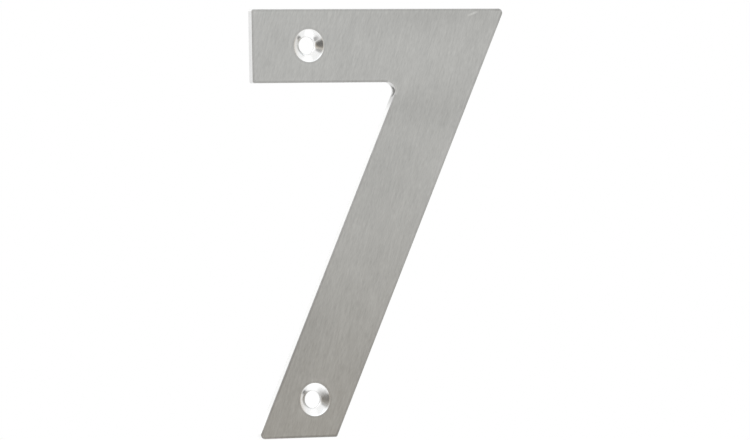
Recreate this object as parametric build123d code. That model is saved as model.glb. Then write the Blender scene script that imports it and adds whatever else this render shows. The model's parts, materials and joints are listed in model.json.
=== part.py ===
from build123d import *
import os

# House number, the digit 7: one flat piece cut from stainless sheet, screwed to a wall or a door.
# +Z is up and +X is to the reader's right. The reader stands at -Y, and the wall is at +Y.
# The origin is the middle of the overall outline, on the back face that lies against the wall.

# Driving dimensions, in millimetres and degrees
height = 100.0  # top edge to foot
width = 65.6  # left end of the bar to its right tip, before the tip is dulled
sheet_thickness = 2.0
bar_height = 17.2  # the level stroke, from the top edge down
stem_width = 20.0  # the slanting stroke, measured level along the foot
notch_radius = 2.0  # inside corner between bar and stem, left by the cutter
tip_radius = 1.0  # the two sharp tips, dulled for handling
corner_radius = 0.5  # the other outside corners
edge_break = 0.15  # front rim, deburred

screw_diameter = 4.0
screw_clearance = 0.2  # on the diameter
sink_diameter = 7.7  # countersink at the front face
sink_angle = 118.0  # included angle, as a drill point leaves it
hole_from_left = 14.5  # both holes stand on one upright line
upper_hole_from_top = 8.5
lower_hole_from_foot = 8.9

# Limits of the outline about the origin
left = -width / 2
right = width / 2
top = height / 2
foot = -height / 2
front = -sheet_thickness

# The foot starts below the bar's left end. Both sides of the stem lean by the same slope.
foot_right = left + stem_width
stem_slope = (right - foot_right) / height
bar_underside = top - bar_height
notch = left + stem_slope * (bar_underside - foot)


def digit_outline():
    corners = {
        (left, top): corner_radius,
        (right, top): tip_radius,
        (foot_right, foot): corner_radius,
        (left, foot): tip_radius,
        (notch, bar_underside): notch_radius,
        (left, bar_underside): corner_radius,
    }
    return FilletPolyline(*corners.keys(), radius=corners.values(), close=True)


def digit_blank():
    # Drawn on the wall's plane and thickened towards the reader
    blank = extrude(Plane.XZ * make_face(digit_outline()), amount=sheet_thickness)
    front_face = blank.faces().sort_by(Axis.Y).first
    return chamfer(front_face.outer_wire().edges(), edge_break)


def screw_hole(z):
    mouth = Plane(origin=(left + hole_from_left, front, z), x_dir=(1, 0, 0), z_dir=(0, -1, 0))
    drill = CounterSinkHole(
        radius=(screw_diameter + screw_clearance) / 2,
        counter_sink_radius=sink_diameter / 2,
        depth=2 * sheet_thickness,
        counter_sink_angle=sink_angle,
    )
    return mouth * drill


numeral = digit_blank()
numeral -= screw_hole(top - upper_hole_from_top)
numeral -= screw_hole(foot + lower_hole_from_foot)

os.makedirs("parts", exist_ok=True)
export_step(numeral, "parts/numeral.step")
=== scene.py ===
import json
import math

import bmesh
import bpy
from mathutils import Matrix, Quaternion, Vector
from mathutils.geometry import delaunay_2d_cdt


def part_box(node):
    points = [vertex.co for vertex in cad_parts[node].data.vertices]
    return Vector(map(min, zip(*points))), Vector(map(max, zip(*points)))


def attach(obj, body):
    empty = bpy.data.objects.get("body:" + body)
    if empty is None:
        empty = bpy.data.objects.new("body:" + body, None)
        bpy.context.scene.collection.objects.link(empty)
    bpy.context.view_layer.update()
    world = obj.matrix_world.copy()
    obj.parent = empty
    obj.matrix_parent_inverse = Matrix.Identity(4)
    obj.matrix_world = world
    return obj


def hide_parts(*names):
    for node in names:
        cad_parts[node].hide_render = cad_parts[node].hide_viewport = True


# House number, the digit 7, cut from stainless sheet: brushed front, bright cut edges, turned countersinks.
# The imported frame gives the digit's box and its screw holes. Lengths below are in millimetres,
# and places on the digit are (x, z), seen from the front.

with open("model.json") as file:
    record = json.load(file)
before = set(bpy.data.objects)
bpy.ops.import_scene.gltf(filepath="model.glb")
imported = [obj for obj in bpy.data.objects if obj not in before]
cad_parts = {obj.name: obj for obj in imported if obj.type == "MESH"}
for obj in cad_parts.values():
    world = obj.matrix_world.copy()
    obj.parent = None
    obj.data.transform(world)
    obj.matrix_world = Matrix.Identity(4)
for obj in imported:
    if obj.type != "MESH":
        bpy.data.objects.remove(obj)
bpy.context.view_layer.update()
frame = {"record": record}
scene = bpy.context.scene
scene.view_settings.view_transform = "Standard"
mm = 0.001
print("frame loaded")


# Shader helpers

class Sock:
    # An output socket that can stand in sums: each operator adds one Math node
    def __init__(self, socket):
        self.socket = socket
        self.tree = socket.id_data

    def out(self, name):  # another output of the same node
        return Sock(self.socket.node.outputs[name])

    def math(self, operation, first, second=0.0):
        return addNode(self.tree, "Math", {"operation": operation}, {0: first, 1: second})

    def __add__(self, other):
        return self.math("ADD", self, other)

    def __radd__(self, other):
        return self.math("ADD", other, self)

    def __sub__(self, other):
        return self.math("SUBTRACT", self, other)

    def __rsub__(self, other):
        return self.math("SUBTRACT", other, self)

    def __mul__(self, other):
        return self.math("MULTIPLY", self, other)

    def __rmul__(self, other):
        return self.math("MULTIPLY", other, self)

    def __truediv__(self, other):
        return self.math("DIVIDE", self, other)

    def __rtruediv__(self, other):
        return self.math("DIVIDE", other, self)

    def __pow__(self, other):
        return self.math("POWER", self, other)

    def __rpow__(self, other):
        return self.math("POWER", other, self)

    def least(self, other):
        return self.math("MINIMUM", self, other)

    def most(self, other):
        return self.math("MAXIMUM", self, other)

    def above(self, limit):
        return self.math("GREATER_THAN", self, limit)

    def size(self):
        return self.math("ABSOLUTE", self)

    def ease(self, none, full):  # 0 at the first value, 1 at the second, which may be the smaller one
        return addNode(self.tree, "MapRange", {"interpolation_type": "SMOOTHSTEP"},
                       {"Value": self, "From Min": none, "From Max": full})


def feed(node, sockets):
    for name, value in sockets.items():
        if isinstance(value, Sock):
            value.tree.links.new(value.socket, node.inputs[name])
        else:
            node.inputs[name].default_value = value


def addNode(tree, kind, settings=None, sockets=None, out=0):
    node = tree.nodes.new("ShaderNode" + kind)
    for name, value in (settings or {}).items():
        setattr(node, name, value)
    feed(node, sockets or {})
    return Sock(node.outputs[out])


def mixColour(share, first, second):  # by number, because a Mix node has sockets of the same name
    sockets = {0: share, 6: first, 7: second}
    return addNode(share.tree, "Mix", {"data_type": "RGBA"}, sockets, 2)


def hypot(first, second):
    return (first ** 2 + second ** 2) ** 0.5


def distance(x, z, spot):
    return hypot(x - spot[0], z - spot[1])


def ovalReach(x, z, spot, lean, wide, tall):  # 0 in the middle of a leaning oval, 1 on its border
    fromX, fromZ = x - spot[0], z - spot[1]
    return hypot((fromX - fromZ * lean) / wide, fromZ / tall)


def placeOf(tree):  # x, y and z on the piece, in millimetres
    place = addNode(tree, "TexCoord", out="Object")
    apart = addNode(tree, "SeparateXYZ", None, {0: place})
    return [apart.out(axis) * (1 / mm) for axis in "XYZ"]


def grain(u, v, w, detail=2.0):  # noise about 0, one cell per unit
    spot = addNode(u.tree, "CombineXYZ", None, {0: u, 1: v, 2: w})
    return addNode(u.tree, "TexNoise", None, {"Vector": spot, "Scale": 1.0, "Detail": detail}) - 0.5


def toolMarks(height, strength, depth):
    sockets = {"Strength": strength, "Distance": depth * mm, "Height": height}
    return addNode(height.tree, "Bump", None, sockets)


def newFinish(name):
    material = bpy.data.materials.new(name)
    material.use_nodes = True
    return material, material.node_tree, material.node_tree.nodes["Principled BSDF"]


# The digit's mesh

low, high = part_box("numeral")
screwHoles = [m for m in frame["record"]["mounts"] if m["kind"] == "bore"]

plate = dict(
    left=low.x / mm, top=high.z / mm, foot=low.z / mm, front=low.y / mm,
    width=65.6,  # to the right tip before it is dulled
    barHeight=17.2, stemWidth=20.0,
    notchRadius=2.0, tipRadius=1.0, cornerRadius=0.5,
    rimRound=0.12, backRound=0.05, roundSteps=5,  # edges broken by hand
    margin=0.1,  # flat strip beside every edge, which keeps the shading of the flats level
    arcSteps=14, runStep=2.0, gridStep=2.0,  # how finely the outline and the flats are divided
    gridGap=1.2,  # from the flats' inner points to the edges
    sharpAngle=50.0, flatWeight=100,  # shading of edges and flats
    sinkRadius=3.85, sinkAngle=118.0, sinkSteps=8, turnSteps=112, mouthRound=0.03,
    sinkDish=0.18,  # the flank is a little flatter at the mouth than at the hole
    holeRadius=screwHoles[0]["dims"]["r_mm"],
    holes=[Vector((m["pos_m"][0], m["pos_m"][2])) / mm for m in screwHoles],
    finishes=dict(front=0, walls=1, sinks=2, back=3),  # order of the materials
)
plate["right"] = plate["left"] + plate["width"]
plate["footRight"] = plate["left"] + plate["stemWidth"]
plate["underside"] = plate["top"] - plate["barHeight"]
plate["slope"] = (plate["right"] - plate["footRight"]) / (plate["top"] - plate["foot"])
plate["lowerHole"], plate["upperHole"] = sorted(plate["holes"], key=lambda hole: hole.y)


def cornerArc(before, corner, after, radius):
    # Points of a rounded corner, each with its outward direction. The outline runs clockwise.
    into = (corner - before).normalized()
    onward = (after - corner).normalized()
    turn = into.angle_signed(onward)  # clockwise is positive, and the notch turns the other way
    side = math.copysign(1, turn)
    outward = Vector((-into.y, into.x))
    start = corner - into * radius * math.tan(abs(turn) / 2)
    middle = start - outward * radius * side
    arc = []
    for k in range(plate["arcSteps"] + 1):
        angle = turn * k / plate["arcSteps"]
        c, s = math.cos(angle), math.sin(angle)
        way = Vector((outward.x * c + outward.y * s, outward.y * c - outward.x * s))
        arc.append((middle + way * radius * side, way))
    return arc


def straightRun(start, end):  # points between two arcs
    count = max(1, round((end[0] - start[0]).length / plate["runStep"]))
    return [(start[0].lerp(end[0], k / count), start[1]) for k in range(1, count)]


def digitOutline():
    left, top, foot, underside = plate["left"], plate["top"], plate["foot"], plate["underside"]
    notch = left + plate["slope"] * (underside - foot)
    corners = [
        ((left, top), plate["cornerRadius"]),
        ((plate["right"], top), plate["tipRadius"]),
        ((plate["footRight"], foot), plate["cornerRadius"]),
        ((left, foot), plate["tipRadius"]),
        ((notch, underside), plate["notchRadius"]),
        ((left, underside), plate["cornerRadius"]),
    ]
    spots = [Vector(corner) for corner, _ in corners]
    outline = []
    for k, (_, radius) in enumerate(corners):
        arc = cornerArc(spots[k - 1], spots[k], spots[(k + 1) % len(spots)], radius)
        if outline:
            outline += straightRun(outline[-1], arc[0])
        outline += arc
    return outline + straightRun(outline[-1], outline[0])


def insideDigit(x, z, gap):
    lean = plate["slope"] * (z - plate["foot"])
    inBar = z > plate["underside"] + gap
    leftSide = plate["left"] if inBar else plate["left"] + lean
    rightSide = plate["footRight"] + lean
    clear = all((Vector((x, z)) - hole).length > plate["sinkRadius"] + gap for hole in plate["holes"])
    return clear and leftSide + gap < x < rightSide - gap


def addVert(mesh, x, depth, z):
    return mesh.verts.new((x * mm, depth * mm, z * mm))


def outlineRing(mesh, outline, inset, depth):
    return [addVert(mesh, p.x - way.x * inset, depth, p.y - way.y * inset) for p, way in outline]


def holeRing(mesh, hole, radius, depth):
    ring = []
    for k in range(plate["turnSteps"]):
        turn = math.tau * k / plate["turnSteps"]
        x, z = hole.x + radius * math.cos(turn), hole.y + radius * math.sin(turn)
        ring.append(addVert(mesh, x, depth, z))
    return ring


def joinRings(mesh, rings, finish):
    for first, second in zip(rings, rings[1:]):
        for k in range(len(first)):
            corners = [first[k - 1], first[k], second[k], second[k - 1]]
            mesh.faces.new(corners).material_index = plate["finishes"][finish]


def gridVerts(mesh, depth):  # points inside the flats, so that their triangles stay even
    step = plate["gridStep"]
    rows = int((plate["top"] - plate["foot"]) / step)
    columns = int(plate["width"] / step)
    verts = []
    for row in range(1, rows):
        for column in range(columns + 1):
            x = plate["left"] + (column + 0.5 * (row % 2)) * step
            z = plate["foot"] + row * step
            if insideDigit(x, z, plate["gridGap"]):
                verts.append(addVert(mesh, x, depth, z))
    return verts


def fillFlat(mesh, loops, depth, finish):
    # The first loop is the outline and the others are holes
    verts, edges, loopOf = [], [], []
    for k, loop in enumerate(loops):
        start, count = len(verts), len(loop)
        edges += [(start + n, start + (n + 1) % count) for n in range(count)]
        verts += loop
        loopOf += [k] * count
    inner = gridVerts(mesh, depth)
    verts += inner
    loopOf += [0] * len(inner)
    spots = [Vector((v.co.x, v.co.z)) / mm for v in verts]
    insideOnly, tolerance = 1, 1e-6
    _, _, faces, origins, _, _ = delaunay_2d_cdt(spots, edges, [], insideOnly, tolerance)
    for face in faces:
        corners = [origins[k][0] for k in face]
        owners = {loopOf[k] for k in corners}
        if len(owners) > 1 or 0 in owners:  # a triangle with all its corners on one hole is air
            mesh.faces.new([verts[k] for k in corners]).material_index = plate["finishes"][finish]


def rimProfile():  # (inset, depth) from the front flat, over the rim, down the wall to the back flat
    front, rim, back = plate["front"], plate["rimRound"], plate["backRound"]
    angles = [math.pi / 2 * k / plate["roundSteps"] for k in range(plate["roundSteps"] + 1)]
    profile = [(rim + plate["margin"], front)]
    profile += [(rim * (1 - math.sin(a)), front + rim * (1 - math.cos(a))) for a in angles]
    profile += [(back * (1 - math.cos(a)), back * (math.sin(a) - 1)) for a in angles]
    return profile + [(back + plate["margin"], 0)]


def sinkProfile():  # (radius, depth) from the front flat, down the cone and through the land to the back
    front, radius, land = plate["front"], plate["sinkRadius"], plate["holeRadius"]
    mouth, back, dish = plate["mouthRound"], plate["backRound"], plate["sinkDish"]
    width = radius - land
    depth = width / math.tan(math.radians(plate["sinkAngle"] / 2))
    profile = [(radius + mouth + plate["margin"], front), (radius + mouth, front)]
    for k in range(plate["sinkSteps"] + 1):
        share = mouth / width + (1 - 2 * mouth / width) * k / plate["sinkSteps"]
        profile.append((radius - width * share, front + depth * share * (1 - dish + dish * share)))
    edge = front + depth
    profile += [(land + mouth / 4, edge + mouth / 6), (land, edge + mouth)]  # the cone's lower edge, eased
    profile += [(land, edge / 2), (land, -back), (land + back, 0)]
    return profile + [(land + back + plate["margin"], 0)]


def buildNumeral():
    mesh = bmesh.new()
    outline = digitOutline()
    rim = [outlineRing(mesh, outline, inset, depth) for inset, depth in rimProfile()]
    sinks = [[holeRing(mesh, hole, r, depth) for r, depth in sinkProfile()] for hole in plate["holes"]]
    wallStart = plate["roundSteps"] + 1
    joinRings(mesh, rim[:wallStart + 1], "front")  # the rim's rounding is brushed with the front
    joinRings(mesh, rim[wallStart:-1], "walls")
    joinRings(mesh, rim[-2:], "back")
    for rings in sinks:
        joinRings(mesh, rings[:2], "front")
        joinRings(mesh, rings[1:-1], "sinks")
        joinRings(mesh, rings[-2:], "back")
    fillFlat(mesh, [rim[0]] + [rings[0] for rings in sinks], plate["front"], "front")
    fillFlat(mesh, [rim[-1]] + [rings[-1] for rings in sinks], 0, "back")
    bmesh.ops.recalc_face_normals(mesh, faces=mesh.faces)
    for face in mesh.faces:
        face.smooth = True
    data = bpy.data.meshes.new("numeralPlate")
    mesh.to_mesh(data)
    mesh.free()
    data.set_sharp_from_angle(angle=math.radians(plate["sharpAngle"]))
    piece = bpy.data.objects.new("numeralPlate", data)
    scene.collection.objects.link(piece)
    weighted = piece.modifiers.new("flatFaces", "WEIGHTED_NORMAL")
    weighted.keep_sharp = True
    weighted.weight = plate["flatWeight"]
    return piece


# Finishes. A fade is a pair of values: none of the mark at the first, all of it at the second.

brush = dict(
    lean=18.0,  # degrees off upright, as the sanding belt ran
    dark=(0.43, 0.428, 0.421, 1), light=(0.70, 0.697, 0.687, 1),
    roughness=0.34, anisotropy=0.6,
    hair=dict(wide=0.2, long=1.3, seed=0.0, tone=0.72, height=0.6),  # single scratches of the belt
    streak=dict(wide=0.5, long=5.0, seed=7.0, tone=0.56, height=0.4, rough=0.12),
    band=dict(wide=2.5, long=40.0, seed=13.0, tone=0.25),
    cloud=dict(wide=5.0, seed=21.0, tone=0.25, rough=0.06),
    markStrength=0.25, markDepth=0.01,
    rimFade=(0.72, 0.33),  # painted shade: the rim is painted darker, and more so in some places
    rimShade=0.13, sinkShade=0.1,
    footShade=0.42, footFade=(4.0, 0.5),
    stemShade=0.24, stemFade=(1.0, 0.5), stemHeights=(30.0, -40.0),
    barShade=0.14, barFade=(1.0, 0.5),
    tipShade=0.25, tipFade=(5.0, 1.5),
    lowTipLight=0.4, lowTipFade=(8.0, 1.5),
    # painted highlight along the notch's rim
    notchLight=0.4, notchFade=(1.5, 0.5),
    glow=0.06, glowStart=(0.4, 0.7), glowEnd=(1.2, 0.7),  # a faint painted highlight line inside the rim
    nickFrom=(22.85, 48.3), nickTo=(25.95, 49.35),  # one short scratch near the top edge
    nickLight=0.45, nickFade=(0.36, 0.1), nickEnds=(1.1, 0.4),
    patches=[  # painted light and shade: places made lighter or darker across the front
        dict(spot=(12.0, 49.0), wide=30.0, tall=6.0, tone=-0.13),
        dict(spot=(12.0, 38.0), wide=32.0, tall=6.5, tone=0.07),
        dict(spot=(10.0, 26.5), wide=20.0, tall=7.0, tone=-0.14),
        dict(spot=(0.0, 11.0), wide=13.0, tall=15.0, tone=-0.09),
        dict(spot=(16.0, 13.0), wide=7.0, tall=9.0, tone=0.12),
        dict(spot=(-23.0, -28.0), wide=15.0, tall=22.0, tone=-0.17),
        dict(spot=(-6.0, -33.0), wide=7.0, tall=8.0, tone=-0.12),
    ],
)


def edgeGaps(x, z):  # depth inside the outline, distance from the stem's left side, nearness to the notch
    steep = math.hypot(1, plate["slope"])
    lean = (z - plate["foot"]) * plate["slope"]
    right = (plate["footRight"] + lean - x) / steep
    stemLeft = (x - plate["left"] - lean) / steep
    outer = right.least(plate["top"] - z).least(x - plate["left"]).least(z - plate["foot"])
    radius = plate["notchRadius"]  # the notch's rounded corner, between the bar and the stem
    middleZ = plate["underside"] - radius
    middleX = plate["left"] + plate["slope"] * (middleZ - plate["foot"]) - radius * steep
    fromX, fromZ = x - middleX, z - middleZ
    inCorner = fromX.above(0) * (fromZ + fromX * plate["slope"]).above(0)
    outOfReach = (1 - inCorner) * 2 * plate["width"]
    corner = hypot(fromX, fromZ) - radius - outOfReach
    notch = (z - plate["underside"]).most(stemLeft).most(corner)
    return outer.least(notch), stemLeft.size(), inCorner * corner.ease(*brush["notchFade"])


def holeReach(x, z):  # distance from the nearer screw hole's axis
    return distance(x, z, plate["lowerHole"]).least(distance(x, z, plate["upperHole"]))


def rimPaintedShade(x, z, stemLeft, notch):  # painted shade, from place to place along the rim; less at the foot's left tip, and a painted highlight along the notch's rim
    stem = stemLeft.ease(*brush["stemFade"]) * z.ease(*brush["stemHeights"])
    bar = (z - plate["underside"]).size()
    tip = distance(x, z, (plate["right"], plate["top"]))
    lowTip = distance(x, z, (plate["left"], plate["foot"]))
    shade = brush["rimShade"] + (z - plate["foot"]).ease(*brush["footFade"]) * brush["footShade"]
    shade = shade + stem * brush["stemShade"] + bar.ease(*brush["barFade"]) * brush["barShade"]
    shade = shade + tip.ease(*brush["tipFade"]) * brush["tipShade"]
    return shade - lowTip.ease(*brush["lowTipFade"]) * brush["lowTipLight"] - notch * brush["notchLight"]


def nickMark(x, z):
    start, end = Vector(brush["nickFrom"]), Vector(brush["nickTo"])
    way, middle = (end - start).normalized(), (start + end) / 2
    along = (x - middle.x) * way.x + (z - middle.y) * way.y
    across = (z - middle.y) * way.x - (x - middle.x) * way.y
    half = (end - start).length / 2
    ends = [half * share for share in brush["nickEnds"]]
    return across.size().ease(*brush["nickFade"]) * along.size().ease(*ends)


def paintedPatchTone(x, z, patch):  # painted light where the tone is above 0 and painted shade where below, strongest in the patch's middle. A patch leans as the stem does.
    reach = ovalReach(x, z, patch["spot"], plate["slope"], patch["wide"], patch["tall"])
    return reach.ease(1.0, 0.0) * patch["tone"]


def brushedFront():
    material, tree, shader = newFinish("brushedFront")
    x, _, z = placeOf(tree)
    lean = math.radians(brush["lean"])
    across = x * math.cos(lean) - z * math.sin(lean)
    along = x * math.sin(lean) + z * math.cos(lean)
    hair, streak, band = [
        grain(across / mark["wide"], along / mark["long"], mark["seed"])
        for mark in (brush["hair"], brush["streak"], brush["band"])
    ]
    size = brush["cloud"]["wide"]
    cloud = grain(x / size, z / size, brush["cloud"]["seed"])
    tone = 0.5 + hair * brush["hair"]["tone"] + streak * brush["streak"]["tone"]
    tone = tone + band * brush["band"]["tone"] + cloud * brush["cloud"]["tone"]
    edge, stemLeft, notch = edgeGaps(x, z)
    mouth = holeReach(x, z) - plate["sinkRadius"]
    # painted shade along the rim and round the countersinks' mouths
    tone = tone - edge.ease(*brush["rimFade"]) * rimPaintedShade(x, z, stemLeft, notch)
    tone = tone - mouth.ease(*brush["rimFade"]) * brush["sinkShade"]
    # painted highlight: a faint light line inside the rim and round the mouths
    gap = edge.least(mouth)
    tone = tone + gap.ease(*brush["glowStart"]) * gap.ease(*brush["glowEnd"]) * brush["glow"]
    tone = tone + nickMark(x, z) * brush["nickLight"]
    # painted light and shade across the front, one patch at a time
    for patch in brush["patches"]:
        tone = tone + paintedPatchTone(x, z, patch)
    rough = streak * brush["streak"]["rough"] + cloud * brush["cloud"]["rough"]
    height = hair * brush["hair"]["height"] + streak * brush["streak"]["height"]
    feed(shader, {
        "Base Color": mixColour(tone, brush["dark"], brush["light"]),
        "Metallic": 1.0,
        "Roughness": brush["roughness"] + rough,
        "Anisotropic": brush["anisotropy"],
        "Anisotropic Rotation": 0.5 - brush["lean"] / 360,  # in turns
        "Normal": toolMarks(height, brush["markStrength"], brush["markDepth"]),
    })
    return material


cutEdge = dict(
    dark=(0.71, 0.71, 0.705, 1), light=(0.96, 0.96, 0.955, 1), roughness=0.3,
    lines=dict(wide=0.16, long=3.0, tone=0.4),  # marks run straight through the sheet
    cloud=dict(wide=3.0, deep=1.5, tone=0.4, rough=0.15),
    markStrength=0.3, markDepth=0.02,
    tone=0.28, tipHeights=(-41.5, -48.5), tipLight=0.8,  # the walls near the foot's tip are painted bright, a painted highlight
    residue=(0.145, 0.143, 0.136, 1),  # painted shade in the notch's corner, a dark crescent with ragged edges
    residueSpot=(3.75, 30.58), residueFade=(1.75, 0.875), residueBow=0.4,
    residueFront=(-1.92, -1.7), residueBack=(-0.4, -1.0),  # its limits between the front and the back
    ragged=1.2, raggedBack=1.0, speck=0.5,
    hazeSpot=(3.2, 29.8), hazeFade=(4.2, 0.5), hazeShare=0.44,
)


def paintedNotchShade(x, y, z):  # painted shade: the crescent, with fainter shade spreading below it
    size = cutEdge["speck"]
    speck = grain(x / size, z / size, y / size)
    ragged = speck * cutEdge["ragged"]
    near = distance(x, z, cutEdge["residueSpot"])
    shadeHaze = (distance(x, z, cutEdge["hazeSpot"]) + ragged).ease(*cutEdge["hazeFade"]) * cutEdge["hazeShare"]
    depth = y - near ** 2 * cutEdge["residueBow"]  # both ends bend towards the back
    midWall = depth.ease(*cutEdge["residueFront"])
    midWall = midWall * (depth + speck * cutEdge["raggedBack"]).ease(*cutEdge["residueBack"])
    return ((near + ragged).ease(*cutEdge["residueFade"]) * midWall).most(shadeHaze)


def cutEdges():
    material, tree, shader = newFinish("cutEdges")
    x, y, z = placeOf(tree)
    line, patch = cutEdge["lines"], cutEdge["cloud"]
    lines = grain(x / line["wide"], z / line["wide"], y / line["long"])
    cloud = grain(x / patch["wide"], z / patch["wide"], y / patch["deep"])
    # painted highlight on the walls near the foot's tip
    tip = z.ease(*cutEdge["tipHeights"]) * cutEdge["tipLight"]
    tone = cutEdge["tone"] + tip + lines * line["tone"] + cloud * patch["tone"]
    steel = mixColour(tone, cutEdge["dark"], cutEdge["light"])
    feed(shader, {
        # painted shade in the notch's corner
        "Base Color": mixColour(paintedNotchShade(x, y, z), steel, cutEdge["residue"]),
        "Metallic": 1.0,
        "Roughness": cutEdge["roughness"] + cloud * patch["rough"],
        "Normal": toolMarks(lines, cutEdge["markStrength"], cutEdge["markDepth"]),
    })
    return material


sink = dict(
    dark=(0.84, 0.84, 0.835, 1), light=(0.96, 0.96, 0.955, 1), roughness=0.16,
    rings=dict(wide=0.07, seed=3.0, tone=0.8),  # marks of the turning tool
    cloud=dict(wide=1.2, tone=0.5, rough=0.12),
    markStrength=0.2, markDepth=0.01,
    dull=(0.42, 0.42, 0.415, 1), dullShare=0.68,  # a painted dark reflection, an arc in the upper countersink
    dullTo=(-0.85, -0.53), dullFade=(1.9, 2.2), dullRing=(2.8, 2.45),
    smudge=(0.30, 0.29, 0.27, 1), smudgeShare=0.62,  # a painted dark reflection on the lower countersink's flank
    smudgeSpot=(2.5, 0.35), smudgeLean=-0.4, smudgeWide=1.65, smudgeTall=3.1,
    smudgeFade=(1.0, 0.25), smudgeRough=0.18,
)


# painted dark reflection on the upper countersink's flank
def paintedArcReflection(x, z):
    hole = plate["upperHole"]
    ring = distance(x, z, hole).ease(*sink["dullRing"])
    side = (x - hole.x) * sink["dullTo"][0] + (z - hole.y) * sink["dullTo"][1]
    return ring * side.ease(*sink["dullFade"])


# painted dark reflection on the lower countersink's flank
def paintedDarkReflection(x, z):
    spot = plate["lowerHole"] + Vector(sink["smudgeSpot"])
    reach = ovalReach(x, z, spot, sink["smudgeLean"], sink["smudgeWide"], sink["smudgeTall"])
    return reach.ease(*sink["smudgeFade"])


def turnedSinks():
    material, tree, shader = newFinish("turnedSinks")
    x, y, z = placeOf(tree)
    ring, patch = sink["rings"], sink["cloud"]
    rings = grain(holeReach(x, z) / ring["wide"], 0.0, ring["seed"])
    cloud = grain(x / patch["wide"], z / patch["wide"], y / patch["wide"])
    # painted dark reflection on the lower countersink, also a little rougher there
    smudge = paintedDarkReflection(x, z)
    steel = mixColour(0.5 + rings * ring["tone"] + cloud * patch["tone"], sink["dark"], sink["light"])
    # painted dark reflection, an arc on the upper countersink
    arcReflected = mixColour(paintedArcReflection(x, z) * sink["dullShare"], steel, sink["dull"])
    feed(shader, {
        "Base Color": mixColour(smudge * sink["smudgeShare"], arcReflected, sink["smudge"]),
        "Metallic": 1.0,
        "Roughness": sink["roughness"] + cloud * patch["rough"] + smudge * sink["smudgeRough"],
        "Normal": toolMarks(rings, sink["markStrength"], sink["markDepth"]),
    })
    return material


back = dict(
    dark=(0.48, 0.48, 0.47, 1), light=(0.60, 0.60, 0.59, 1), roughness=0.42,
    mill=dict(wide=0.25, long=4.0, seed=5.0, tone=0.7),  # lines left by rolling the sheet
    cloud=dict(wide=9.0, seed=11.0, detail=4.0, tone=0.7, rough=0.2),
    markStrength=0.2, markDepth=0.01,
)


def plainBack():
    material, tree, shader = newFinish("plainBack")
    x, _, z = placeOf(tree)
    line, patch = back["mill"], back["cloud"]
    mill = grain(x / line["wide"], z / line["long"], line["seed"])
    cloud = grain(x / patch["wide"], z / patch["wide"], patch["seed"], patch["detail"])
    tone = 0.5 + mill * line["tone"] + cloud * patch["tone"]
    feed(shader, {
        "Base Color": mixColour(tone, back["dark"], back["light"]),
        "Metallic": 1.0,
        "Roughness": back["roughness"] + cloud * patch["rough"],
        "Normal": toolMarks(mill, back["markStrength"], back["markDepth"]),
    })
    return material


numeral = buildNumeral()
for finish in (brushedFront(), cutEdges(), turnedSinks(), plainBack()):
    numeral.data.materials.append(finish)
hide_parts("numeral")
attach(numeral, "root")
print("numeral built:", len(numeral.data.polygons), "faces")


# Studio: a white room with some unlit parts, a pale floor, three soft lamps and the camera

studio = dict(
    # What the front mirrors near eye level
    frontLow=(0.379, 0.344, 0.286, 1), frontHigh=(0.577, 0.526, 0.448, 1),
    frontAhead=(-0.12, 0.57), frontLevel=(0.5, 0.12), frontHeights=(-0.35, 0.35),
    white=(1, 1, 1, 1), ambient=(0.75, 0.75, 0.75, 1),
    shade=(0.135, 0.131, 0.125, 1), shadeFade=(1.3, 0.6), shadeSide=(0.0, 0.3),
    shades=[  # unlit parts of the room, in degrees
        dict(azimuth=-34.0, elevation=-6.0, wide=13.0, tall=17.0, share=1.0),
        dict(azimuth=-36.5, elevation=-41.5, wide=13.0, tall=15.0, share=0.72),
        dict(azimuth=-33.0, elevation=24.0, wide=9.0, tall=9.0, share=0.65),
        dict(azimuth=-8.0, elevation=-60.0, wide=12.0, tall=8.0, share=0.55),
        dict(azimuth=82.0, elevation=-22.0, wide=7.0, tall=7.0, share=0.9),
    ],
)


def wayTo(azimuth, elevation):  # azimuth 0 is straight in front of the digit
    a, e = math.radians(azimuth), math.radians(elevation)
    return Vector((math.sin(a) * math.cos(e), -math.cos(a) * math.cos(e), math.sin(e)))


def dotWith(way, axis):
    return addNode(way.tree, "VectorMath", {"operation": "DOT_PRODUCT"}, {0: way, 1: axis}, "Value")


def shadeMask(way, zone):  # 1 in the middle of an unlit part of the room, 0 outside it
    aim = wayTo(zone["azimuth"], zone["elevation"])
    turn = math.radians(zone["azimuth"])
    side = Vector((math.cos(turn), math.sin(turn), 0))
    across = dotWith(way, side) / math.sin(math.radians(zone["wide"]))
    above = dotWith(way, aim.cross(side)) / math.sin(math.radians(zone["tall"]))
    thisSide = dotWith(way, aim).ease(*studio["shadeSide"])
    return hypot(across, above).ease(*studio["shadeFade"]) * thisSide * zone["share"]


def whiteRoom():
    world = bpy.data.worlds.new("whiteRoom")
    world.use_nodes = True
    tree = world.node_tree
    way = addNode(tree, "TexCoord", out="Generated")
    apart = addNode(tree, "SeparateXYZ", None, {0: way})
    up = apart.out("Z")
    ahead = (0 - apart.out("Y")).ease(*studio["frontAhead"])
    level = up.size().ease(*studio["frontLevel"])
    front = mixColour(up.ease(*studio["frontHeights"]), studio["frontLow"], studio["frontHigh"])
    mirrored = mixColour(ahead * level, studio["white"], front)
    for zone in studio["shades"]:
        mirrored = mixColour(shadeMask(way, zone), mirrored, studio["shade"])
    path = addNode(tree, "LightPath", out="Is Camera Ray")
    glossy = mixColour(path.out("Is Glossy Ray"), studio["ambient"], mirrored)
    clear = path.most(path.out("Is Transmission Ray"))
    feed(tree.nodes["Background"], {"Color": mixColour(clear, glossy, studio["white"])})
    scene.world = world


ground = dict(
    drop=150.0, size=400.0,  # the floor lies below the foot
    colour=(0.9, 0.9, 0.9, 1), roughness=0.9,
    dark=(0, 0, 0, 1), glow=(0.45, 0.45, 0.45, 1),
)


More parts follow.
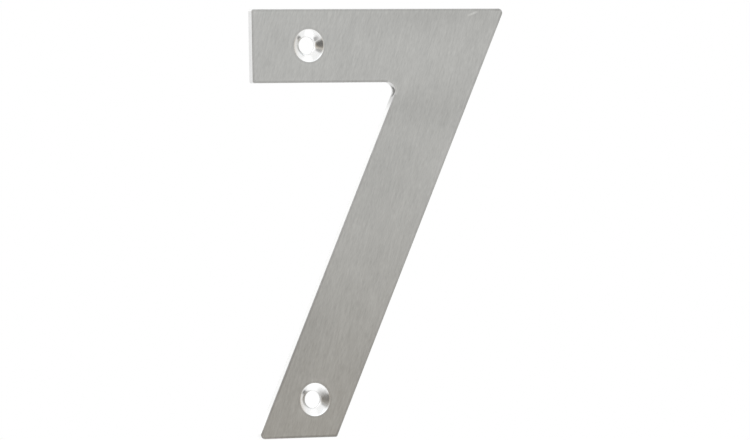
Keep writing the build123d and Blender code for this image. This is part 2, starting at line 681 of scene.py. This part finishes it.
def paleFloor():
    half = ground["size"] / 2 * mm
    z = low.z - ground["drop"] * mm
    corners = [(-half, -half, z), (half, -half, z), (half, half, z), (-half, half, z)]
    data = bpy.data.meshes.new("floor")
    data.from_pydata(corners, [], [(0, 1, 2, 3)])
    floor = bpy.data.objects.new("floor", data)
    scene.collection.objects.link(floor)
    material, tree, shader = newFinish("floor")
    path = addNode(tree, "LightPath", out="Is Camera Ray")
    seen = path.most(path.out("Is Glossy Ray")).most(path.out("Is Transmission Ray"))
    feed(shader, {
        "Base Color": ground["colour"],
        "Roughness": ground["roughness"],
        "Specular IOR Level": 0.0,
        "Emission Color": mixColour(seen, ground["dark"], ground["glow"]),
        "Emission Strength": 1.0,
    })
    data.materials.append(material)


lamps = dict(
    front=dict(
        spot=(100.0, -400.0, 160.0), aim=(30.0, 0.0, 160.0), wide=460.0, tall=380.0,
        power=0.253, colour=(0.76, 0.875, 1),
    ),
    rim=dict(
        spot=(-260.0, 900.0, 420.0), aim=(0.0, 0.0, 0.0), wide=900.0, tall=500.0,
        power=0.4, colour=(1, 1, 1),
    ),
    top=dict(
        spot=(250.0, -250.0, 470.0), aim=(0.0, 0.0, 0.0), wide=350.0, tall=350.0,
        power=0.05, colour=(1, 1, 1),
    ),
)


def softLamps():
    for name, lamp in lamps.items():
        data = bpy.data.lights.new(name, "AREA")
        data.shape = "RECTANGLE"
        data.size = lamp["wide"] * mm
        data.size_y = lamp["tall"] * mm
        data.energy = lamp["power"]
        data.color = lamp["colour"]
        piece = bpy.data.objects.new(name, data)
        spot, aim = Vector(lamp["spot"]), Vector(lamp["aim"])
        piece.location = spot * mm
        piece.rotation_euler = (aim - spot).to_track_quat("-Z", "Y").to_euler()
        piece.visible_camera = False
        scene.collection.objects.link(piece)


view = dict(
    aim=(-2.015, -1.97, 0.51), distance=1523.6, lens=312.0,
    azimuth=-25.32, elevation=0.09, roll=-0.993,  # in degrees
)


def photoCamera():
    away = wayTo(view["azimuth"], view["elevation"])
    data = bpy.data.cameras.new("camera")
    data.lens = view["lens"]
    camera = bpy.data.objects.new("camera", data)
    camera.location = (Vector(view["aim"]) + away * view["distance"]) * mm
    camera.rotation_mode = "QUATERNION"
    tilt = Quaternion((0, 0, 1), math.radians(view["roll"]))
    camera.rotation_quaternion = (-away).to_track_quat("-Z", "Y") @ tilt
    scene.collection.objects.link(camera)
    scene.camera = camera


whiteRoom()
paleFloor()
softLamps()
photoCamera()
print("studio set")
